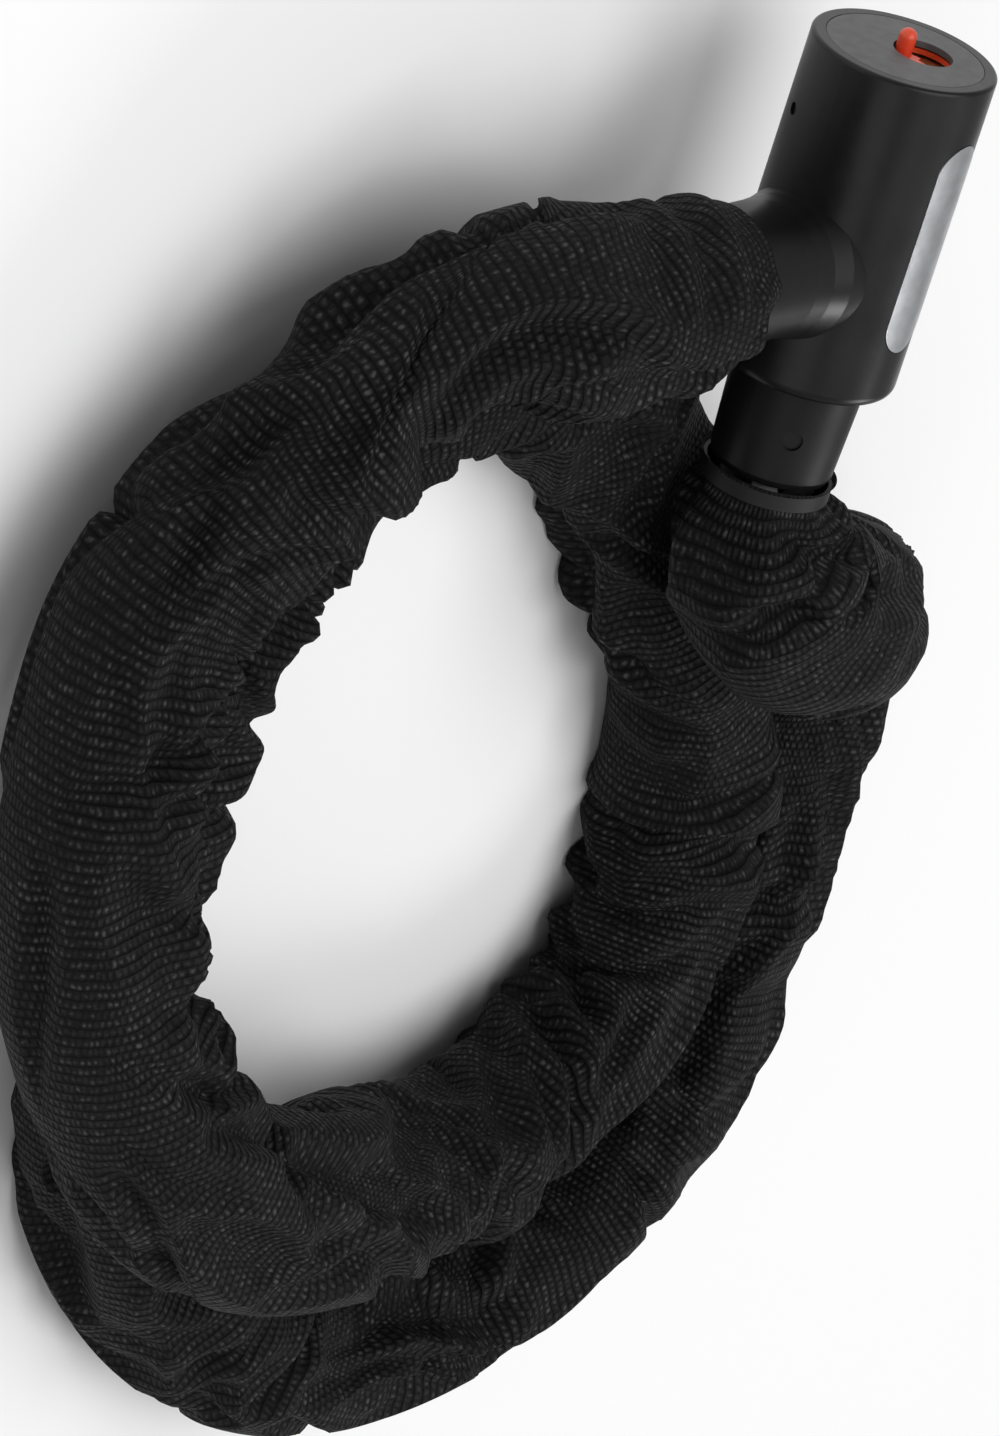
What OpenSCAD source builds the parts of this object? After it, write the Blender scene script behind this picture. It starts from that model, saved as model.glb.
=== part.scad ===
// Sleeved chain lock with a T-shaped cylinder head, lying coiled in two turns.
// +Z is up, the origin is under the middle of the whole lock, on the surface that it lies on.

/* [Head] */
// Diameter of the cylindrical head
head_d = 36; // [34:0.5:40]
// Length of the head above the crossing of its two axes
head_top = 42; // [41:0.5:46]
// Length of the head below that crossing
head_bottom = 24; // [22:0.5:26]
// Diameter of the side boss at its mouth
boss_d = 26; // [25:0.5:28]
// Distance from the head's axis to the mouth of the side boss
boss_reach = 38; // [37:0.5:40]
// Diameter of the chain collar under the head
collar_d = 26; // [25:0.5:28]
// Length of the chain collar
collar_len = 21; // [20:0.5:24]

/* [Lock] */
// Diameter of the locking ferrule
ferrule_d = 13; // [12:0.5:13]
// Distance that the ferrule is drawn out before the chain takes over
ferrule_travel = 13; // [8:1:13]
// Diameter of the key plug
plug_d = 14; // [13.5:0.5:14]
// Radius of the plug's crank pin
crank_r = 2.5; // [2:0.1:2.5]

/* [Chain] */
// Side of the square section of a link
link_wire = 4.8; // [4.6:0.1:4.8]
// Length of a link's opening
link_open = 28; // [28:0.5:28.5]
// Width of a link's opening
link_gap = 9.5; // [9:0.5:9.5]
// Distance between the middles of neighbouring links
link_pitch = 24; // [23.8:0.1:24.2]

/* [Sleeve] */
// Outer radius of the fabric sleeve
sleeve_r = 14; // [14:0.1:14.2]
// Thickness of the sleeve, both layers of the weave
sleeve_wall = 1.2; // [1:0.1:1.2]

/* [Hidden] */
$fn = 64;
head_r = head_d / 2;
boss_r = boss_d / 2;
collar_r = collar_d / 2;
ferrule_r = ferrule_d / 2;
plug_r = plug_d / 2;
fit = 0.05; // radial clearance of a running fit

// The head's two axes cross here. The key end points along -X, the boss along -Y.
head_at = [-113.8, 35.3, 28.05 + sleeve_r];

// Key axis, as (toward the boss, toward the badge) from the head's axis.
key_at = [-3, 2];
cap_thick = 3;
pin_spans = [[-head_r + 0.6, -4.4], [11.6, head_r - 0.6]]; // on the line through both axes
opening_r = 5.8;
pocket_r = 7.4;
shutter_r = 7.2;
shutter_thick = 1;
knob_r = 1.7;
knob_orbit = 3.9;
case_r = 11;
case_bottom = 19;
plug_bottom = 16;
groove_r = 8.3; // reach of the case's wafer grooves
groove_w = 6.6;
wafer_count = 5;
wafer_thick = 1.2;
wafer_pitch = 3;
wafer_w = 6;
wafer_top = 35;
keyway = [2.4, 7];
crank_pin_r = 1.5;
crank_angle = 45;
bolt_top = 14.9;
bolt_bottom = 12.4;
finger_x = [10, 13];
finger_y = [6.9, 9.9];
finger_drop = -4;
cavity_r = 11.2;
groove_bottom_r = 3.1;
ferrule_tip = 7;
eye_len = ferrule_travel + link_wire + 2.4;
eye_start = boss_reach + 4;
eye_wall = 3;
eye_open = 6.9;
eye_thick = 6.5;
end_link_at = eye_start + eye_len - 1.8 + link_open / 2;
boss_root_r = 14.6;
badge = [43, 12, 1.2]; // length, width, thickness
badge_mid = 9;
badge_angle = 97;
anchor_pin_at = head_bottom + 10.5;
last_link_open = 19;

// Centre line of the chain and sleeve, from the boss to the collar, measured from the crossing
// of the head's axes. 28 under that crossing is where the sleeve rests on the surface.
low = -28;
route = [
    [0, -39, 0], [0, -54, 0], [0, -70, 0], [0, -86, 0],
    [4, -102, -3], [13, -118, -7], [26, -133, -10], [41, -146, -12], [59, -155, -13], [79, -158, -12],
    [102, -157, -10], [125, -151, -7], [146, -141, -3], [165, -128, 0], [179, -112, 2], [188, -93, 2],
    [195, -71, -1], [202, -46, -7], [207, -20, -13], [208, 5, -18], [202, 28, -23],
    [189, 45, -26], [169, 53, low], [148, 53, low], [128, 45, low], [110, 36, low], [92, 23, low],
    [75, 9, low], [59, -6, low], [45, -22, low], [34, -39, low], [29, -57, low], [30, -75, low],
    [37, -92, low], [48, -107, low], [62, -118, low], [80, -125, low], [100, -127, low],
    [121, -124, low], [144, -119, low], [167, -112, low], [190, -102, low], [211, -88, low],
    [230, -70, low], [246, -48, low], [256, -24, low], [259, 1, low], [256, 26, low],
    [246, 50, low], [229, 69, low], [207, 82, low], [183, 87, low], [160, 87, low],
    [138, 84, low], [119, 78, -27], [105, 70, -21], [96, 59, -12], [90, 47, -5], [85, 35, 0],
    [81, 25, 1], [76, 16, 1], [70, 9, 1], [64, 4, 1], [58, 1, 0], [52, 0, 0], [48, 0, 0], [45, 0, 0]
];
steps = 3; // smooth points for each route point

function spline(a, b, c, d, t) =
    0.5 * (2 * b + (c - a) * t + (2 * a - 5 * b + 4 * c - d) * t * t
    + (3 * b - a - 3 * c + d) * t * t * t);
last = len(route) - 1;
path = concat(
    [for (i = [0:last - 1], k = [0:steps - 1])
        spline(route[max(i - 1, 0)], route[i], route[i + 1], route[min(i + 2, last)], k / steps)],
    [route[last]]);
ends = len(path) - 1;
along = [for (i = 0, run = 0; i <= ends; run = run + norm(path[min(i + 1, ends)] - path[i]), i = i + 1) run];
path_len = along[ends];
function at(s) = [for (axis = [0:2]) lookup(s, [for (i = [0:ends]) [along[i], path[i][axis]]])];
function unit(v) = v / norm(v);
function heading(s) = unit(at(min(s + 5, path_len)) - at(max(s - 5, 0)));
function side_of(t) = unit(cross([0, 0, 1], t));

// Joints of the chain, evenly spaced from the end link to the last link on the anchor pin.
link_slack = (link_open - link_pitch) / 2;
first_joint_s = end_link_at - 39 + link_open / 2 - link_slack;
last_link_at = anchor_pin_at - 2.3 + last_link_open / 2;
last_joint_s = path_len + 45 - last_link_at - last_link_open / 2 + link_slack;
link_count = round((last_joint_s - first_joint_s) / link_pitch);
link_step = (last_joint_s - first_joint_s) / link_count;
links_per_node = 2;
chain_nodes = ceil(link_count / links_per_node);
last_roll = link_count % 2 == 0 ? -45 : 45;
function two_digits(n) = str(n < 10 ? "0" : "", n);
link_names = [for (i = [1:chain_nodes]) str("chain_links_", two_digits(i))];
wafer_names = [for (i = [1:wafer_count]) str("wafer_", i)];

// Turns the head's own frame (Z to the key end, X to the boss, Y to the badge) into the part's.
module in_head() {
    multmatrix([
        [0, 0, -1, head_at[0]], [-1, 0, 0, head_at[1]], [0, 1, 0, head_at[2]], [0, 0, 0, 1]
    ]) children();
}

// Turns +Z of its children toward the boss.
module along_boss() {
    rotate([0, 90, 0]) children();
}

module at_key_axis() {
    translate([key_at[0], key_at[1], 0]) children();
}

module rod(r, low_end, high_end) {
    translate([0, 0, low_end]) cylinder(r = r, h = high_end - low_end);
}

module ring(r_out, r_in, low_end, high_end) {
    difference() {
        rod(r_out, low_end, high_end);
        rod(r_in, low_end - 1, high_end + 1);
    }
}

// A turned solid with rounded rims, from its outline's radius and heights.
module rounded_rod(r, low_end, high_end, round_low, round_high) {
    rotate_extrude() {
        polygon([[0, low_end], [r - round_low, low_end], [r, low_end + round_low],
            [r, high_end - round_high], [r - round_high, high_end], [0, high_end]]);
        translate([r - round_low, low_end + round_low]) intersection() {
            circle(r = round_low);
            translate([0, -round_low]) square(round_low);
        }
        translate([r - round_high, high_end - round_high]) intersection() {
            circle(r = round_high);
            square(round_high);
        }
    }
}

// Flared boss: a raised root on the head, then a slim barrel with a bevelled mouth.
module boss_outside() {
    along_boss() rotate_extrude() polygon([
        [0, 4], [boss_root_r, 4], [boss_root_r, 15], [boss_r + 0.6, 19.5], [boss_r + 0.2, 24],
        [boss_r, boss_reach - 1], [boss_r - 0.8, boss_reach], [0, boss_reach]
    ]);
}

module badge_outline(grow) {
    len = badge[0] - badge[1];
    for (sign = [-1, 1]) translate([sign * len / 2, 0]) circle(r = badge[1] / 2 + grow);
    square([len, badge[1] + 2 * grow], center = true);
}

// A band of the head's surface under the badge's outline.
module badge_band(r_out, r_in, grow) {
    intersection() {
        ring(r_out, r_in, badge_mid - 30, badge_mid + 30);
        rotate([0, 0, badge_angle]) translate([0, 0, badge_mid]) rotate([0, 90, 0])
            linear_extrude(head_d) badge_outline(grow);
    }
}

module head_shell() color("#202022") in_head() difference() {
    union() {
        rounded_rod(head_r, -head_bottom, head_top, 2.2, 0.8);
        boss_outside();
    }
    rod(head_r - 2.6, head_top - cap_thick, head_top + 1);
    at_key_axis() rod(case_r, case_bottom - 0.2, head_top);
    at_key_axis() rod(9, bolt_top, case_bottom + 1);
    bolt_cavity();
    along_boss() rod(ferrule_r + fit + 0.1, ferrule_tip - 1.5, boss_reach - 8);
    along_boss() rod(9, boss_reach - 5, boss_reach + 1);
    along_boss() rod(8, boss_reach - 9, boss_reach - 4);
    rod(9.5, -head_bottom - 1, -head_bottom + 7);
    badge_band(head_r + 1, head_r - 1.1, 0.12);
    across_case() for (span = pin_spans) translate([0, 0, span[0] - 1])
        cylinder(r = 1.25, h = span[1] - span[0] + 2);
}

// Puts +Z of its children along the line through the head's axis and the key axis.
module across_case() {
    translate([0, 0, 27]) rotate([0, 0, atan2(key_at[1], key_at[0])]) rotate([0, 90, 0]) children();
}

// Room for the bolt's plate and its finger at both ends of their travel.
module bolt_cavity() {
    translate([0, 0, bolt_bottom - 0.2]) intersection() {
        cylinder(r = cavity_r + 4.4, h = bolt_top - bolt_bottom + 0.4);
        translate([-13, -8, 0]) cube([26.4, 20, 3]);
    }
    translate([finger_x[0] - 0.2, 2.8, finger_drop - 0.4])
        cube([finger_x[1] - finger_x[0] + 0.4, finger_y[1] - 2.4, bolt_top - finger_drop + 0.5]);
}

module key_cap() color("#55565a") in_head() difference() {
    rounded_rod(head_r - 2.6 - fit, head_top - cap_thick + 0.02, head_top, 0.1, 0.2);
    at_key_axis() rod(opening_r, 0, head_top + 1);
    at_key_axis() rod(pocket_r, 0, head_top - cap_thick + shutter_thick + 0.8);
}

module dust_shutter() color("#e8431f") in_head() at_key_axis() translate([0, 0, head_top - cap_thick + 0.4]) {
    ring(shutter_r, opening_r + 0.2, 0, shutter_thick);
    difference() {
        rod(opening_r + 0.3, 0, shutter_thick);
        translate([-20 + 0.4, -10, -1]) cube([20, 20, 4]);
    }
    rotate([0, 0, -80]) translate([knob_orbit, 0, 0]) {
        cylinder(r = knob_r, h = 4.2);
        translate([0, 0, 4.2]) sphere(r = knob_r);
    }
    rotate([0, 0, -80]) translate([knob_orbit - 3.4, -1, 0]) cube([3.4, 2, shutter_thick]);
}

module badge_plate() color("#c9ccd0") in_head() badge_band(head_r + 0.15, head_r - 1.05, 0);

module wafer_slots(w, reach) {
    for (i = [0:wafer_count - 1])
        translate([-w / 2, -reach, wafer_top - i * wafer_pitch - 0.1]) cube([w, 2 * reach, wafer_thick + 0.2]);
}

module cylinder_case() color("#a8a9ad") in_head() at_key_axis() difference() {
    rod(case_r - fit, case_bottom, head_top - cap_thick - 0.1);
    rod(plug_r + fit, case_bottom - 1, head_top);
    for (turn = [0, 90]) rotate([0, 0, turn]) intersection() {
        rod(groove_r, wafer_top - 4 * wafer_pitch - 0.6, wafer_top + wafer_thick + 0.4);
        translate([-groove_w / 2, -20, 0]) cube([groove_w, 40, 60]);
    }
    translate([-key_at[0], -key_at[1], 0]) across_case() for (span = pin_spans)
        translate([0, 0, span[0]]) cylinder(r = 1.25, h = span[1] - span[0]);
}

module case_pins() color("#8d8f93") in_head() across_case() for (span = pin_spans)
    translate([0, 0, span[0]]) cylinder(r = 1.25, h = span[1] - span[0]);

module key_plug() color("#c8a24a") in_head() at_key_axis() difference() {
    union() {
        rod(plug_r, plug_bottom, head_top - cap_thick);
        rotate([0, 0, crank_angle]) translate([crank_r, 0, 0]) rod(crank_pin_r, bolt_bottom, plug_bottom + 1);
    }
    wafer_slots(wafer_w + 0.2, 10);
    translate([-keyway[0] / 2, -keyway[1] / 2, case_bottom + 1]) cube([keyway[0], keyway[1], 40]);
    ring(plug_r + 1, plug_r - 1, 17.4, 18.4);
}

module plug_clip() color("#8d8f93") in_head() at_key_axis() difference() {
    ring(plug_r + 1.5, plug_r - 0.95, 17.45, 18.35);
    translate([-20, -3, 0]) cube([20, 6, 40]);
}

module wafer(i) color("#d9b45a") in_head() at_key_axis() difference() {
    intersection() {
        rod(plug_r - 0.1, wafer_top - i * wafer_pitch, wafer_top - i * wafer_pitch + wafer_thick);
        translate([-wafer_w / 2, -10, 0]) cube([wafer_w, 20, 60]);
    }
    translate([-keyway[0] / 2 - 0.2, -keyway[1] / 2 - 1, 0]) cube([keyway[0] + 0.4, keyway[1] + 2, 60]);
}

module locking_bolt() color("#b9bbbf") in_head() difference() {
    union() {
        translate([-7, 0.2, bolt_bottom]) cube([7 + finger_x[1], finger_y[1] - 0.2, bolt_top - bolt_bottom]);
        translate([finger_x[0], finger_y[0], finger_drop])
            cube([finger_x[1] - finger_x[0], finger_y[1] - finger_y[0], bolt_top - finger_drop]);
    }
    yoke_slot();
}

module yoke_slot() {
    middle = key_at + crank_r * [cos(crank_angle), sin(crank_angle)];
    half = crank_pin_r + 0.17;
    translate([middle[0] - 2.2, middle[1] - half, bolt_bottom - 1]) cube([4.8, 2 * half, 6]);
}

module bolt_plate() color("#7d8085") in_head() intersection() {
    at_key_axis() ring(8.95, plug_r - 1.8, bolt_top + 0.15, plug_bottom - 0.1);
    rod(head_r - 2, 0, 30);
}

module mouth_ring() color("#17171a") in_head() along_boss() difference() {
    union() {
        rod(9 - fit, boss_reach - 4.9, boss_reach - 0.4);
        rod(8 - fit, boss_reach - 7.9, boss_reach - 4.5);
    }
    rod(ferrule_r + fit, 0, boss_reach + 1);
}

// The ferrule: a grooved pin, a shoulder, and a tail with a long eye for the end link.
module ferrule() color("#9a9ca1") in_head() along_boss() difference() {
    union() {
        rod(ferrule_r - 1.2, ferrule_tip, ferrule_tip + 2);
        translate([0, 0, ferrule_tip]) cylinder(r1 = ferrule_r - 1.5, r2 = ferrule_r, h = 1.5);
        rod(ferrule_r, ferrule_tip + 1.5, boss_reach + 1);
        rod(9, boss_reach + 0.3, boss_reach + 2.5);
        rotate([0, 0, 45]) translate([-eye_thick / 2, -eye_open / 2 - eye_wall, boss_reach + 2])
            cube([eye_thick, eye_open + 2 * eye_wall, eye_start + eye_len + eye_wall - boss_reach - 2]);
    }
    ring(ferrule_r + 1, groove_bottom_r, finger_x[0] - 0.3, finger_x[1] + 0.3);
    rotate([0, 0, 45]) translate([-10, -eye_open / 2, eye_start]) cube([20, eye_open, eye_len]);
}

module ferrule_band() color("#3a3b3e") in_head() along_boss()
    ring(10.8, 9.05, boss_reach + 0.4, boss_reach + 2.4);

// A flat ring of square section, long axis along X, lying in the XY plane.
module link(open) {
    half = open / 2 - link_gap / 2;
    translate([0, 0, -link_wire / 2]) linear_extrude(link_wire) difference() {
        stadium(half, link_gap / 2 + link_wire);
        stadium(half, link_gap / 2);
    }
}

module stadium(half, r) {
    for (sign = [-1, 1]) translate([sign * half, 0]) circle(r = r);
    square([2 * half, 2 * r], center = true);
}

module end_link() color("#7e8187") in_head() translate([end_link_at, 0, 0]) rotate([-45, 0, 0]) link(link_open);

// Places its children between two joints of the chain, X from one to the other, rolled about it.
module between(a, b, roll) {
    t = unit(b - a);
    y = side_of(t);
    z = cross(t, y);
    p = (a + b) / 2 + head_at;
    multmatrix([
        [t[0], y[0], z[0], p[0]], [t[1], y[1], z[1], p[1]], [t[2], y[2], z[2], p[2]], [0, 0, 0, 1]
    ]) rotate([roll, 0, 0]) children();
}

// A node holds every second link of four, so its two links don't touch each other.
module chain_links(group) color("#7e8187") for (k = [0:links_per_node - 1]) {
    n = floor((group - 1) / 2) * 4 + (group - 1) % 2 + 2 * k;
    s = first_joint_s + n * link_step;
    if (n < link_count) between(at(s), at(s + link_step), n % 2 == 0 ? -45 : 45) link(link_open);
}

module last_link() color("#7e8187")
    between([last_link_at + 1, 0, 0], [last_link_at - 1, 0, 0], last_roll) link(last_link_open);

module chain_collar() color("#1a1a1c") in_head() difference() {
    union() {
        rod(9.4, -head_bottom - 1, -head_bottom + 6.8);
        rotate_extrude() polygon([
            [0, -head_bottom - 0.05], [collar_r - 0.2, -head_bottom - 0.05], [collar_r, -head_bottom - 1],
            [collar_r - 0.9, -head_bottom - collar_len + 1.4],
            [collar_r - 1.5, -head_bottom - collar_len], [0, -head_bottom - collar_len]
        ]);
    }
    rod(collar_r - 2.1, -head_bottom - collar_len - 1, -head_bottom - 2.5);
    translate([0, 0, -anchor_pin_at]) rotate([0, 90, -last_roll]) cylinder(r = 2, h = 60, center = true);
    for (turn = [0, 180]) rotate([0, 0, turn - last_roll]) translate([6, 0, -head_bottom - 5]) cylinder(r = 1.3, h = 20);
}

module collar_screws() color("#8d8f93") in_head() for (turn = [0, 180]) rotate([0, 0, turn - last_roll])
    translate([6, 0, -head_bottom - 2.5]) {
        rod(1.25, 0.1, 9.25);
        rod(2, -1.4, 0);
        rod(1.25, -0.5, 1);
    }

module anchor_pin() color("#b9bbbf") in_head() translate([0, 0, -anchor_pin_at])
    rotate([0, 90, -last_roll]) cylinder(r = 2, h = 2 * (collar_r - 1.2), center = true);

// Radius of the sleeve's outside at a distance s along the centre line.
function sleeve_outer(s) = lookup(s, [
    [0, 13], [8, 13.6], [16, sleeve_r], [path_len - 20, sleeve_r], [path_len - 8, 13.3],
    [path_len - 4.8, 11.9], [path_len, 11.8]
]);
sleeve_sides = 12;
sleeve_s = concat([0.4, 8, 16], [for (s = [32:17.5:path_len - 62]) s],
    [for (back = [56, 49, 42, 35, 29, 24, 19, 14, 9, 4.8, 0.4]) path_len - back]);

function sleeve_ring(s, r) = let (t = heading(s), y = side_of(t), z = cross(t, y))
    [for (k = [0:sleeve_sides - 1]) let (a = 90 + k * 360 / sleeve_sides)
        at(s) + r * cos(a) * y + r * sin(a) * z];

module sleeve() color("#151517") translate(head_at) {
    rings = len(sleeve_s);
    n = sleeve_sides;
    points = concat(
        [for (s = sleeve_s) each sleeve_ring(s, sleeve_outer(s))],
        [for (s = sleeve_s) each sleeve_ring(s, sleeve_outer(s) - sleeve_wall)]);
    inner = rings * n;
    walls = [for (i = [0:rings - 2], k = [0:n - 1]) each let (
            a = i * n + k, b = i * n + (k + 1) % n, c = b + n, d = a + n)
        [[a, c, b], [a, d, c], [a + inner, b + inner, c + inner], [a + inner, c + inner, d + inner]]];
    rims = [for (k = [0:n - 1]) each let (
            a = k, b = (k + 1) % n, c = (rings - 1) * n + k, d = (rings - 1) * n + (k + 1) % n)
        [[a, b, b + inner], [a, b + inner, a + inner], [c, d + inner, d], [c, c + inner, d + inner]]];
    polyhedron(points, concat(walls, rims));
}

module anchor_band() color("#3a3b3e") in_head()
    ring(12.8, 12.05, -head_bottom - collar_len - 4, -head_bottom - collar_len - 1);

head_shell();
key_cap();
dust_shutter();
badge_plate();
cylinder_case();
key_plug();
plug_clip();
locking_bolt();
bolt_plate();
case_pins();
mouth_ring();
ferrule();
ferrule_band();
end_link();
last_link();
chain_collar();
collar_screws();
anchor_pin();
sleeve();
anchor_band();
for (i = [0:wafer_count - 1]) wafer(i);
for (i = [1:chain_nodes]) chain_links(i);
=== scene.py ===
"""Sleeved chain lock lying in a coil: the fabric sleeve, the finishes and the studio."""

import math

import bmesh
import bpy
import numpy as np
from mathutils import Matrix, Vector


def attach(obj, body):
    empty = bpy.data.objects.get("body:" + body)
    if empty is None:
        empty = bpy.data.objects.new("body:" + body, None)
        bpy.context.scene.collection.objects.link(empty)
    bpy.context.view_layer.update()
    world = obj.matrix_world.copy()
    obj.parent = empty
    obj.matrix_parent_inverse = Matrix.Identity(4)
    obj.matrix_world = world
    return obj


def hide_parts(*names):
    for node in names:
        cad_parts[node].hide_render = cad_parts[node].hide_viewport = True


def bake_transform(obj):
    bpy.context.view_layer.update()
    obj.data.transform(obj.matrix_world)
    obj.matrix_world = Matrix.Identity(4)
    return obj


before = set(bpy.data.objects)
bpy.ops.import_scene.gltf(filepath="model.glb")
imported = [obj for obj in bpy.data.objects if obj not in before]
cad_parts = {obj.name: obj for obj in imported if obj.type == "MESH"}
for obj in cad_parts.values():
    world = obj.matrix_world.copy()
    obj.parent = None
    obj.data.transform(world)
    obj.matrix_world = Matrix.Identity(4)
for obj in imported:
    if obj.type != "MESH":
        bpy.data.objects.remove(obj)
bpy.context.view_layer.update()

MM = 0.001
HEAD = np.array([-113.8, 35.3, 42.05]) * MM  # where the head's two axes cross
BOSS_R = 13 * MM
COLLAR_R = 13 * MM
BODY_R = 18 * MM

# ---------------------------------------------------------------- camera

CAMERA_FROM_HEAD = np.array([-517.2, -1130.1, 695.3]) * MM
CAMERA_RIGHT = Vector((-0.2737, 0.6291, 0.7276))
CAMERA_UP = Vector((-0.8606, 0.1775, -0.4773))
LENS_MM = 190.1


def make_camera():
    data = bpy.data.cameras.new("camera")
    data.sensor_fit = "VERTICAL"
    data.sensor_height = 36
    data.sensor_width = 36
    data.lens = LENS_MM
    data.clip_start = 0.05
    data.clip_end = 20
    camera = bpy.data.objects.new("camera", data)
    bpy.context.scene.collection.objects.link(camera)
    right = CAMERA_RIGHT.normalized()
    up = (CAMERA_UP - right * CAMERA_UP.dot(right)).normalized()
    back = right.cross(up)
    turn = Matrix((right, up, back)).transposed()
    camera.matrix_world = Matrix.Translation(Vector(HEAD + CAMERA_FROM_HEAD)) @ turn.to_4x4()
    bpy.context.scene.camera = camera


make_camera()

# ---------------------------------------------------------------- route of the sleeve

LOW = -28
ROUTE_MM = [
    [0, -39, 0], [0, -54, 0], [0, -70, 0], [0, -86, 0],
    [4, -102, -3], [13, -118, -7], [26, -133, -10], [41, -146, -12], [59, -155, -13], [79, -158, -12],
    [102, -157, -10], [125, -151, -7], [146, -141, -3], [165, -128, 0], [179, -112, 2], [188, -93, 2],
    [195, -71, -1], [202, -46, -7], [207, -20, -13], [208, 5, -18], [202, 28, -23],
    [189, 45, -26], [169, 53, LOW], [148, 53, LOW], [128, 45, LOW], [110, 36, LOW], [92, 23, LOW],
    [75, 9, LOW], [59, -6, LOW], [45, -22, LOW], [34, -39, LOW], [29, -57, LOW], [30, -75, LOW],
    [37, -92, LOW], [48, -107, LOW], [62, -118, LOW], [80, -125, LOW], [100, -127, LOW],
    [121, -124, LOW], [144, -119, LOW], [167, -112, LOW], [190, -102, LOW], [211, -88, LOW],
    [230, -70, LOW], [246, -48, LOW], [256, -24, LOW], [259, 1, LOW], [256, 26, LOW],
    [246, 50, LOW], [229, 69, LOW], [207, 82, LOW], [183, 87, LOW], [160, 87, LOW],
    [138, 84, LOW], [119, 78, -27], [105, 70, -21], [96, 59, -12], [90, 47, -5], [85, 35, 0],
    [81, 25, 1], [76, 16, 1], [70, 9, 1], [64, 4, 1], [58, 1, 0], [52, 0, 0], [48, 0, 0], [45, 0, 0],
]


def smooth_line(points, steps):
    """Catmull-Rom line through the points, as in the CAD part."""
    p = np.vstack([points[0], points, points[-1]])
    line = []
    for i in range(1, len(p) - 2):
        a, b, c, d = p[i - 1], p[i], p[i + 1], p[i + 2]
        for t in np.arange(steps) / steps:
            line.append(0.5 * (2 * b + (c - a) * t + (2 * a - 5 * b + 4 * c - d) * t ** 2
                               + (3 * b - a - 3 * c + d) * t ** 3))
    line.append(p[-1])
    return np.array(line)


def evenly(line, step):
    """The same line with points a step apart, and their distances along it."""
    s = np.concatenate([[0], np.cumsum(np.linalg.norm(np.diff(line, axis=0), axis=1))])
    count = int(round(s[-1] / step)) + 1
    even = np.linspace(0, s[-1], count)
    return np.stack([np.interp(even, s, line[:, k]) for k in range(3)], axis=1), even


def unit(v):
    return v / np.linalg.norm(v, axis=-1, keepdims=True)


STEP = 2.2 * MM
AROUND = 80
centre, along = evenly(smooth_line(np.array(ROUTE_MM, float) * MM + HEAD, 12), STEP)
length = along[-1]
heading = unit(np.gradient(centre, axis=0))
sideways = unit(np.cross([0, 0, 1], heading))
upward = np.cross(heading, sideways)

# ---------------------------------------------------------------- shape of the sleeve

SLEEVE_R = 17.3 * MM
MOUTH_R = 14.8 * MM
NECK_R = 11.6 * MM
REACH_MAX = 20.8 * MM
CHAIN_R = 12 * MM
SPLIT = 46 * MM  # the stretch before this moves with the ferrule at one end
FLOOR_GAP = 0.4 * MM


def base_radius(s):
    return np.interp(s, [0, 8 * MM, 24 * MM, 50 * MM, length - 36 * MM, length - 20 * MM,
                         length - 9 * MM, length - 4 * MM, length],
                     [MOUTH_R, MOUTH_R + 1.2 * MM, 16.6 * MM, SLEEVE_R, SLEEVE_R, 16.4 * MM,
                      14.2 * MM, NECK_R, NECK_R])


def bend_of(line, reach):
    """Curvature of the line, per metre, as a vector to the inside of the bend."""
    ahead = np.roll(line, -reach, axis=0)
    behind = np.roll(line, reach, axis=0)
    ahead[-reach:] = line[-1]
    behind[:reach] = line[0]
    return (ahead + behind - 2 * line) / (reach * STEP) ** 2


def angle_gap(a, b):
    return (a - b + math.pi) % (2 * math.pi) - math.pi


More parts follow.
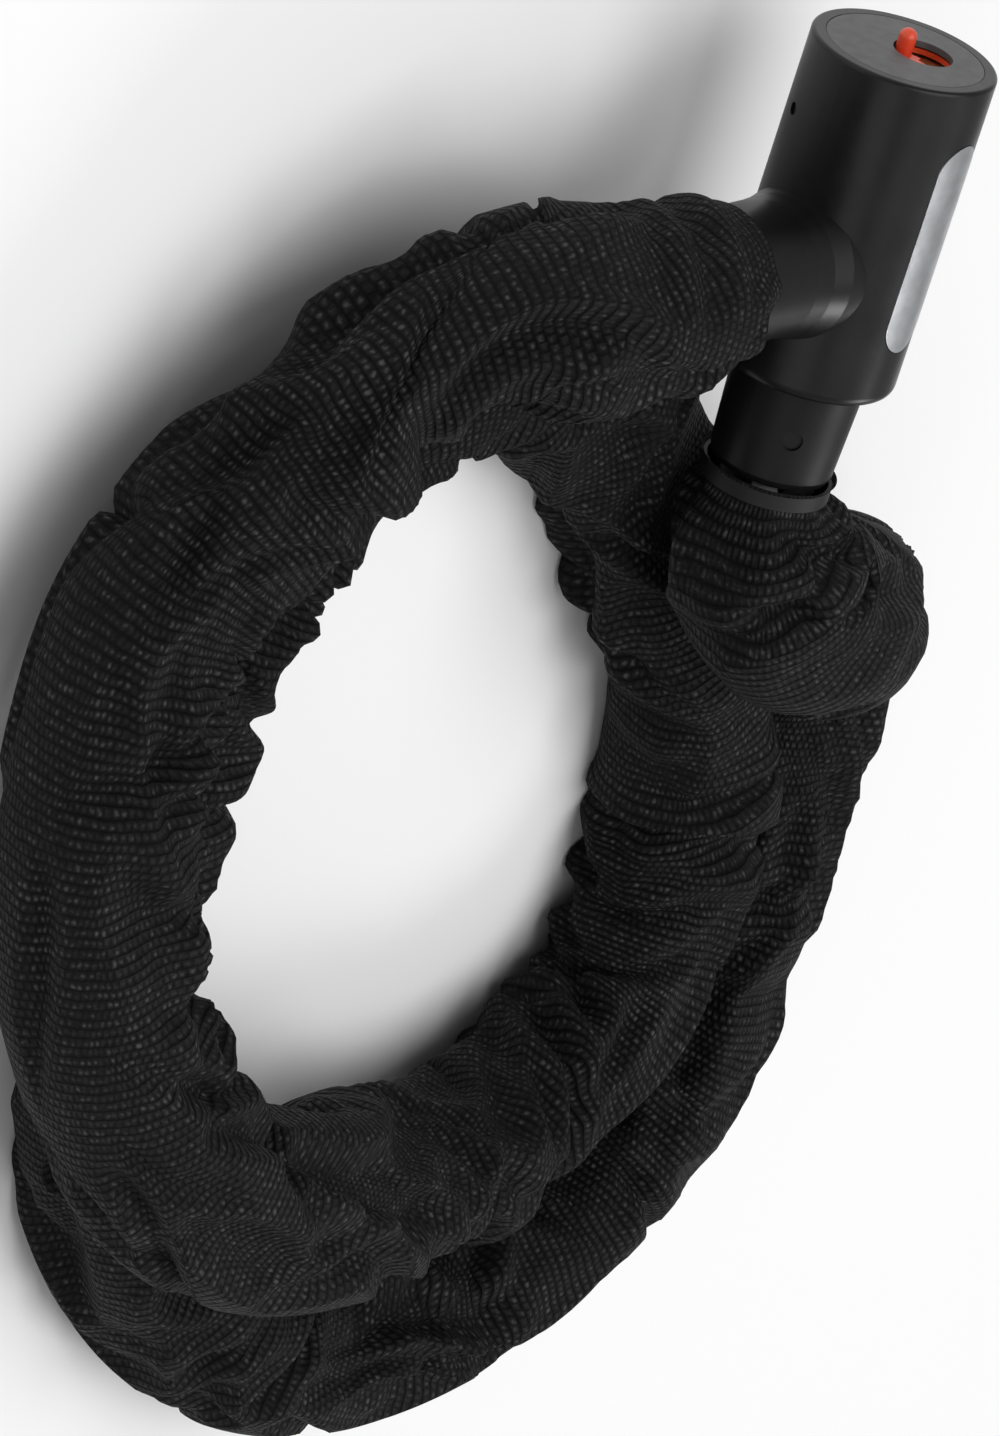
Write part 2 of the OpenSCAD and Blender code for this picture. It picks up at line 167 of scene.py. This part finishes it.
def folds(s, angle):
    """Depth of the sleeve's loose folds, in metres, positive outward."""
    rng = np.random.default_rng(7)
    depth = np.zeros_like(s)
    bend = bend_of(centre, 9)
    inside = np.arctan2(np.sum(bend * upward, axis=1), np.sum(bend * sideways, axis=1))
    strength = np.clip(np.linalg.norm(bend, axis=1) * 0.06, 0, 1.3)
    # Creases across the strand, deepest and closest together on the inside of each bend.
    place = 10 * MM
    while place < length - 6 * MM:
        i = int(place / STEP)
        pull = strength[i]
        middle = inside[i] + rng.normal(0, 0.55 + 0.6 / (0.4 + pull))
        spread = rng.uniform(0.6, 1.3)
        slant = rng.normal(0, 13 * MM)
        width = rng.uniform(2.4, 4.8) * MM
        height = rng.uniform(3.0, 5.4) * (0.6 + 0.7 * pull) * MM
        gap = angle_gap(angle, middle)
        across = (s - place - slant * gap) / width
        window = np.exp(-(gap / spread) ** 2)
        crease = -np.exp(-np.abs(across) * 1.3) + 0.75 * np.exp(-((np.abs(across) - 1.9) / 1.0) ** 2)
        depth += height * window * crease
        place += rng.uniform(7, 15) * MM / (0.75 + 0.5 * pull)
    # Long pleats that run with the strand and wander round it.
    for _ in range(60):
        start = rng.uniform(-20 * MM, length)
        run = rng.uniform(45, 150) * MM
        middle = rng.uniform(0, 2 * math.pi)
        twist = rng.normal(0, 5.5)
        t = (s - start) / run
        window = np.clip(4 * t * (1 - t), 0, 1) ** 0.7
        line = angle_gap(angle, middle + twist * (s - start) + 0.25 * np.sin(9 * t + middle))
        width = rng.uniform(0.11, 0.22)
        height = rng.uniform(2.2, 4.4) * MM
        crease = -np.exp(-np.abs(line) / width) + 0.8 * np.exp(-((np.abs(line) - 2.4 * width) / width) ** 2)
        depth += height * window * crease
    # Buckles where two sets of slanting creases cross, in patches.
    drift = sum(rng.uniform(0.3, 0.9) * np.sin(rng.uniform(15, 70) * s + k * angle + rng.uniform(0, 6.28))
                for k in (0, 1, 1, 2, 2, 3))
    patch = np.clip(0.5 + 0.6 * np.sin(31 * s + angle + 1) + 0.4 * np.sin(67 * s - 2 * angle), 0, 1)
    for wave, turns in ((120, 2), (160, -3)):
        ridge = 1 - 2 * np.abs(np.sin(0.5 * (wave * s + turns * angle + 1.6 * drift))) ** 0.8
        depth += 1.7 * MM * patch * ridge
    # Slow swelling and slack.
    for _ in range(40):
        wave = rng.uniform(25, 90)
        turn = rng.integers(1, 4)
        depth += rng.uniform(0.15, 0.4) * MM * np.sin(wave * s + turn * angle + rng.uniform(0, 6.28))
    fade = np.interp(s, [0, 14 * MM, length - 10 * MM, length - 3 * MM], [0.45, 1, 1, 0.1])
    return np.clip(depth, -6.5 * MM, 4.4 * MM) * fade


def hold_apart(points, s_of):
    """Flattens the strand where it lies against the floor, another stretch of itself or the head."""
    coarse = centre[::3]
    coarse_s = along[::3]
    own = centre[np.clip((s_of / STEP).round().astype(int), 0, len(centre) - 1)]
    for start in range(0, len(points), 6000):
        part = slice(start, start + 6000)
        p = points[part]
        away = np.linalg.norm(p[:, None] - coarse[None], axis=2)
        away[np.abs(s_of[part][:, None] - coarse_s[None]) < 75 * MM] = 9
        nearest = away.argmin(axis=1)
        other = coarse[nearest]
        between = other - own[part]
        distance = np.linalg.norm(between, axis=1)
        direction = between / distance[:, None]
        over = np.sum((p - own[part]) * direction, axis=1) - (distance / 2 - 0.25 * MM)
        near = (distance < 60 * MM) & (over > 0)
        p[near] -= direction[near] * over[near][:, None]
        points[part] = p
    for axis, radius, low, high in ((0, BODY_R, -42, 25), (0, COLLAR_R, 24, 45.4), (1, BOSS_R, -38, 0)):
        local = points - HEAD
        flat = local.copy()
        flat[:, axis] = 0
        off = np.linalg.norm(flat, axis=1)
        inside = (local[:, axis] > low * MM) & (local[:, axis] < high * MM)
        inside &= off < radius + 0.4 * MM
        points[inside] += flat[inside] / off[inside][:, None] * (radius + 0.4 * MM - off[inside])[:, None]
    floor = FLOOR_GAP + 0.0006 * np.sin(points[:, 0] * 210) * np.sin(points[:, 1] * 170)
    points[:, 2] = np.maximum(points[:, 2], floor)
    return points


def tube_points():
    s, angle = np.meshgrid(along, np.arange(AROUND) * 2 * math.pi / AROUND, indexing="ij")
    reach = base_radius(s) + folds(s, angle)
    points = (centre[:, None] + sideways[:, None] * (reach * np.cos(angle))[..., None]
              + upward[:, None] * (reach * np.sin(angle))[..., None])
    return points.reshape(-1, 3), s.reshape(-1)


def tube_mesh(name, points, rings, first_ring):
    """A tube through rings of points, with a map of its cloth: turns round, metres along."""
    faces = [(i * AROUND + k, i * AROUND + (k + 1) % AROUND,
              (i + 1) * AROUND + (k + 1) % AROUND, (i + 1) * AROUND + k)
             for i in range(rings - 1) for k in range(AROUND)]
    mesh = bpy.data.meshes.new(name)
    mesh.from_pydata(points.tolist(), [], [f[::-1] for f in faces])
    layer = mesh.uv_layers.new(name="cloth")
    corner = np.array([((k + 1) / AROUND, i + 1) if c == 1 else
                       (k / AROUND, i + 1) if c == 0 else
                       (k / AROUND, i) if c == 3 else ((k + 1) / AROUND, i)
                       for i in range(rings - 1) for k in range(AROUND) for c in (0, 1, 2, 3)])
    corner[:, 1] = (corner[:, 1] + first_ring) * STEP
    layer.data.foreach_set("uv", corner.astype(np.float32).ravel())
    mesh.polygons.foreach_set("use_smooth", [True] * len(mesh.polygons))
    mesh.update()
    piece = bpy.data.objects.new(name, mesh)
    bpy.context.scene.collection.objects.link(piece)
    return piece


SIM_FRAMES = 16
SIM_CAP = 5.5 * MM


def crumple(points):
    """Cloth simulation: the sleeve is a little too big for its route, so it buckles into creases."""
    rings = len(along)
    sheet = tube_mesh("sleeve_cloth", points, rings, 0)
    group = sheet.vertex_groups.new(name="held")
    ends = [i * AROUND + k for i in (*range(3), *range(rings - 4, rings)) for k in range(AROUND)]
    group.add(ends, 1.0, "REPLACE")
    cloth = sheet.modifiers.new("cloth", "CLOTH")
    cloth.settings.quality = 5
    cloth.settings.mass = 0.12
    cloth.settings.tension_stiffness = 18
    cloth.settings.compression_stiffness = 18
    cloth.settings.shear_stiffness = 3
    cloth.settings.bending_stiffness = 0.5
    cloth.settings.air_damping = 4
    cloth.settings.shrink_min = -0.09
    cloth.settings.shrink_max = -0.09
    cloth.settings.vertex_group_mass = "held"
    cloth.settings.effector_weights.gravity = 0
    cloth.collision_settings.use_collision = False
    cloth.point_cache.frame_start = 1
    cloth.point_cache.frame_end = SIM_FRAMES
    scene = bpy.context.scene
    for n in range(1, SIM_FRAMES + 1):
        scene.frame_set(n)
    baked = sheet.evaluated_get(bpy.context.evaluated_depsgraph_get())
    moved = np.empty(len(points) * 3, np.float32)
    baked.data.vertices.foreach_get("co", moved)
    moved = moved.reshape(-1, 3).astype(float)
    scene.frame_set(1)
    bpy.data.objects.remove(sheet)
    shift = moved - points
    size = np.linalg.norm(shift, axis=1, keepdims=True)
    return points + shift * np.minimum(1, SIM_CAP / np.maximum(size, 1e-9))


def soften(points, rounds):
    """Evens neighbouring points so that pressed places stay smooth."""
    grid = points.reshape(len(along), AROUND, 3)
    for _ in range(rounds):
        middle = (np.roll(grid, 1, axis=1) + np.roll(grid, -1, axis=1)) / 2
        grid = 0.6 * grid + 0.4 * middle
        inner = grid[1:-1] * 0.6 + (grid[:-2] + grid[2:]) * 0.2
        grid[1:-1] = inner
    return grid.reshape(-1, 3)


def within_reach(points):
    """Keeps the cloth between the chain inside it and the furthest that its slack allows."""
    grid = points.reshape(len(along), AROUND, 3)
    off = grid - centre[:, None]
    off -= np.sum(off * heading[:, None], axis=2, keepdims=True) * heading[:, None]
    reach = np.linalg.norm(off, axis=2, keepdims=True)
    least = np.minimum(CHAIN_R, base_radius(along) - 0.3 * MM)[:, None, None]
    grid = grid + off / reach * (np.clip(reach, least, REACH_MAX) - reach)
    grid[..., 2] = np.maximum(grid[..., 2], FLOOR_GAP)
    return grid.reshape(-1, 3)


def make_sleeve():
    points, s_of = tube_points()
    points = hold_apart(points, s_of)
    points = crumple(points)
    points = within_reach(hold_apart(soften(points, 1), s_of))
    return points.reshape(len(along), AROUND, 3)


def hem(grid, ring, inward, depths):
    """Rings that turn the cloth's edge over and back inside, from the edge inward."""
    edge = grid[ring]
    middle = edge.mean(axis=0)
    out = unit(edge - middle)
    rings = []
    for step_in, drop in depths:
        rings.append(edge - out * drop + inward * step_in)
    return np.array(rings)


# ---------------------------------------------------------------- materials


def new_material(name, color, roughness, metallic=0.0, **sockets):
    material = bpy.data.materials.new(name)
    material.use_nodes = True
    tree = material.node_tree
    shader = tree.nodes["Principled BSDF"]
    shader.inputs["Base Color"].default_value = (*color, 1)
    shader.inputs["Roughness"].default_value = roughness
    shader.inputs["Metallic"].default_value = metallic
    for socket, value in sockets.items():
        shader.inputs[socket.replace("_", " ")].default_value = value
    return material, tree, shader


def math_node(tree, operation, a, b=None):
    node = tree.nodes.new("ShaderNodeMath")
    node.operation = operation
    for slot, value in enumerate((a, b)):
        if value is None:
            continue
        if isinstance(value, (int, float)):
            node.inputs[slot].default_value = value
        else:
            tree.links.new(value, node.inputs[slot])
    return node.outputs[0]


def noise(tree, scale, detail=3, stretch=None):
    texture = tree.nodes.new("ShaderNodeTexNoise")
    texture.inputs["Scale"].default_value = scale
    texture.inputs["Detail"].default_value = detail
    coordinates = tree.nodes.new("ShaderNodeTexCoord")
    source = coordinates.outputs["Object"]
    if stretch:
        mapping = tree.nodes.new("ShaderNodeMapping")
        mapping.inputs["Scale"].default_value = stretch
        tree.links.new(source, mapping.inputs["Vector"])
        source = mapping.outputs["Vector"]
    tree.links.new(source, texture.inputs["Vector"])
    return texture.outputs["Fac"]


def ramp(tree, factor, stops):
    node = tree.nodes.new("ShaderNodeValToRGB")
    elements = node.color_ramp.elements
    while len(elements) < len(stops):
        elements.new(0.5)
    for element, (place, color) in zip(elements, stops):
        element.position = place
        element.color = (*color, 1)
    tree.links.new(factor, node.inputs["Fac"])
    return node.outputs["Color"]


def bump(tree, shader, height, strength, distance):
    node = tree.nodes.new("ShaderNodeBump")
    node.inputs["Strength"].default_value = strength
    node.inputs["Distance"].default_value = distance
    tree.links.new(height, node.inputs["Height"])
    tree.links.new(node.outputs["Normal"], shader.inputs["Normal"])


def grey(level):
    return (level, level, level * 1.03)


THREADS_AROUND = 84
RIB_PITCH = 1.9 * MM


def cloth_material():
    """Coarse plain weave: ribs round the sleeve, each a row of raised threads, offset row by row."""
    material, tree, shader = new_material("woven_nylon", grey(0.02), 0.72, Sheen_Weight=0.01,
                                          Sheen_Roughness=0.45, Specular_IOR_Level=0.12)
    uv = tree.nodes.new("ShaderNodeUVMap")
    uv.uv_map = "cloth"
    split = tree.nodes.new("ShaderNodeSeparateXYZ")
    tree.links.new(uv.outputs["UV"], split.inputs["Vector"])
    drift = math_node(tree, "MULTIPLY", math_node(tree, "SUBTRACT", noise(tree, 160, 2), 0.5), 0.5)
    row = math_node(tree, "ADD", math_node(tree, "MULTIPLY", split.outputs["Y"], 1 / RIB_PITCH), drift)
    rib = math_node(tree, "ABSOLUTE", math_node(tree, "SINE", math_node(tree, "MULTIPLY", row, math.pi)))
    parity = math_node(tree, "MULTIPLY", math_node(tree, "FLOOR", row), 0.5)
    thread = math_node(tree, "ADD", math_node(tree, "MULTIPLY", split.outputs["X"], THREADS_AROUND), parity)
    bead = math_node(tree, "ABSOLUTE", math_node(tree, "SINE", math_node(tree, "MULTIPLY", thread, math.pi)))
    raised = math_node(tree, "MULTIPLY", math_node(tree, "POWER", rib, 0.8),
                       math_node(tree, "ADD", math_node(tree, "MULTIPLY", bead, 0.55), 0.45))
    fuzz = noise(tree, 1500, 3)
    height = math_node(tree, "ADD", raised, math_node(tree, "MULTIPLY", fuzz, 0.25))
    bump(tree, shader, height, 1.0, 0.55 * MM)
    patch = math_node(tree, "ADD", math_node(tree, "MULTIPLY", noise(tree, 45, 4), 0.5), 0.55)
    speck = math_node(tree, "POWER", noise(tree, 700, 2), 2.2)
    # Painted highlight on the thread tops and painted shade in the gaps between threads, from the weave height,
    # mixed with random patches and specks of tone.
    weave_shade_and_tone = math_node(tree, "MULTIPLY", math_node(tree, "MULTIPLY", raised, patch),
                      math_node(tree, "ADD", math_node(tree, "MULTIPLY", speck, 2.2), 0.35))
    color = ramp(tree, weave_shade_and_tone, [(0.0, grey(0.0012)), (0.25, grey(0.0035)), (0.6, grey(0.011)), (1.0, grey(0.055))])
    tree.links.new(color, shader.inputs["Base Color"])
    tree.links.new(ramp(tree, fuzz, [(0.3, grey(0.6)), (0.8, grey(0.85))]), shader.inputs["Roughness"])
    return material


def coated_material(name, level, roughness, coat=0.25, specular=0.35):
    """Powder coat: a fine orange peel, a little dust and wear in the sheen."""
    material, tree, shader = new_material(name, grey(level), roughness, Coat_Weight=coat,
                                          Coat_Roughness=0.25, Specular_IOR_Level=specular)
    bump(tree, shader, noise(tree, 2600, 4), 0.14, 0.06 * MM)
    patch = noise(tree, 70, 5)
    tree.links.new(ramp(tree, patch, [(0.3, grey(roughness - 0.04)), (0.75, grey(roughness + 0.06))]),
                   shader.inputs["Roughness"])
    tree.links.new(ramp(tree, noise(tree, 400, 5), [(0.3, grey(level * 0.85)), (0.8, grey(level * 1.25))]),
                   shader.inputs["Base Color"])
    return material


def metal_material(name, color, roughness, stretch, strength=0.25):
    """Ground or turned metal with fine tool lines."""
    material, tree, shader = new_material(name, color, roughness, metallic=1.0)
    lines = noise(tree, 900, 4, stretch)
    bump(tree, shader, lines, strength, 0.05 * MM)
    tree.links.new(ramp(tree, lines, [(0.25, grey(max(0.05, roughness - 0.08))), (0.75, grey(roughness + 0.12))]),
                   shader.inputs["Roughness"])
    dark = tuple(c * 0.8 for c in color)
    tree.links.new(ramp(tree, noise(tree, 260, 4), [(0.3, dark), (0.7, color)]), shader.inputs["Base Color"])
    return material


def plastic_material():
    material, tree, shader = new_material("shutter_plastic", (0.78, 0.07, 0.02), 0.38,
                                          Subsurface_Weight=0.08, Coat_Weight=0.15)
    shader.inputs["Subsurface Radius"].default_value = (0.002, 0.0006, 0.0003)
    bump(tree, shader, noise(tree, 1800, 3), 0.1, 0.05 * MM)
    tree.links.new(ramp(tree, noise(tree, 300, 4), [(0.3, (0.68, 0.05, 0.015)), (0.8, (0.86, 0.10, 0.03))]),
                   shader.inputs["Base Color"])
    return material


black = coated_material("satin_black", 0.005, 0.34, 0.04, 0.28)
CAD_FINISH = {
    "head_shell": black,
    "chain_collar": coated_material("collar_black", 0.005, 0.44, 0.0, 0.24),
    "key_cap": coated_material("cap_grey", 0.085, 0.5, 0.05),
    "mouth_ring": coated_material("mouth_black", 0.004, 0.5, 0.0),
    "dust_shutter": plastic_material(),
    "badge_plate": metal_material("brushed_badge", (0.60, 0.61, 0.63), 0.34, (1, 14, 14), 0.3),
    "ferrule_band": coated_material("band_black", 0.012, 0.5, 0.0),
    "anchor_band": coated_material("clamp_black", 0.006, 0.55, 0.0),
    "anchor_pin": black,
    "case_pins": black,
}
steel = metal_material("hardened_steel", (0.30, 0.31, 0.33), 0.4, (1, 1, 1))
turned = metal_material("turned_steel", (0.50, 0.51, 0.53), 0.28, (1, 20, 1))
brass = metal_material("plug_brass", (0.55, 0.40, 0.18), 0.34, (20, 1, 1))


def finish_cad():
    for node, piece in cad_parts.items():
        if node == "sleeve":
            continue
        material = CAD_FINISH.get(node)
        if material is None and (node == "key_plug" or node.startswith("wafer")):
            material = brass
        if material is None and ("link" in node):
            material = steel
        if material is None:
            material = turned
        piece.data.materials.clear()
        piece.data.materials.append(material)


# ---------------------------------------------------------------- floor and light


def studio():
    mesh = bpy.data.meshes.new("floor")
    build = bmesh.new()
    bmesh.ops.create_grid(build, x_segments=1, y_segments=1, size=6)
    build.to_mesh(mesh)
    build.free()
    floor = bpy.data.objects.new("floor", mesh)
    bpy.context.scene.collection.objects.link(floor)
    material, tree, shader = new_material("pale_floor", (0.93, 0.93, 0.93), 0.9, Specular_IOR_Level=0.1)
    mesh.materials.append(material)
    world = bpy.data.worlds.new("world")
    bpy.context.scene.world = world
    world.use_nodes = True
    world.node_tree.nodes["Background"].inputs["Color"].default_value = (1, 1, 1, 1)
    world.node_tree.nodes["Background"].inputs["Strength"].default_value = 0.35
    bpy.context.scene.view_settings.view_transform = "Standard"
    lights = (
        ("key", (-0.5, -0.1, 1.6), 1.7, 21),
        ("fill", (0.3, -1.5, 0.9), 1.0, 3),
        ("rim", (0.9, 0.9, 1.1), 0.5, 6),
    )
    for name, place, size, power in lights:
        data = bpy.data.lights.new(name, "AREA")
        data.size = size
        data.energy = power
        lamp = bpy.data.objects.new(name, data)
        lamp.location = place
        lamp.rotation_euler = (-Vector(place)).to_track_quat("-Z", "Y").to_euler()
        bpy.context.scene.collection.objects.link(lamp)


# ---------------------------------------------------------------- making

woven = cloth_material()
grid = make_sleeve()
split_ring = int(SPLIT / STEP)

mouth_hem = hem(grid, 0, -heading[0], [(-14 * MM, 4.2 * MM), (-6 * MM, 3.2 * MM), (0.3 * MM, 2.4 * MM),
                                       (0.9 * MM, 1.2 * MM)])
mouth_rings = np.vstack([mouth_hem, grid[:split_ring + 1]])
mouth = tube_mesh("sleeve_mouth", mouth_rings.reshape(-1, 3), len(mouth_rings), -len(mouth_hem))
main = tube_mesh("sleeve_main", grid[split_ring:].reshape(-1, 3), len(grid) - split_ring, split_ring)
for piece in (mouth, main):
    piece.data.materials.append(woven)
    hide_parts("sleeve")
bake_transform(mouth)
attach(main, "head_and_chain")

finish_cad()
studio()
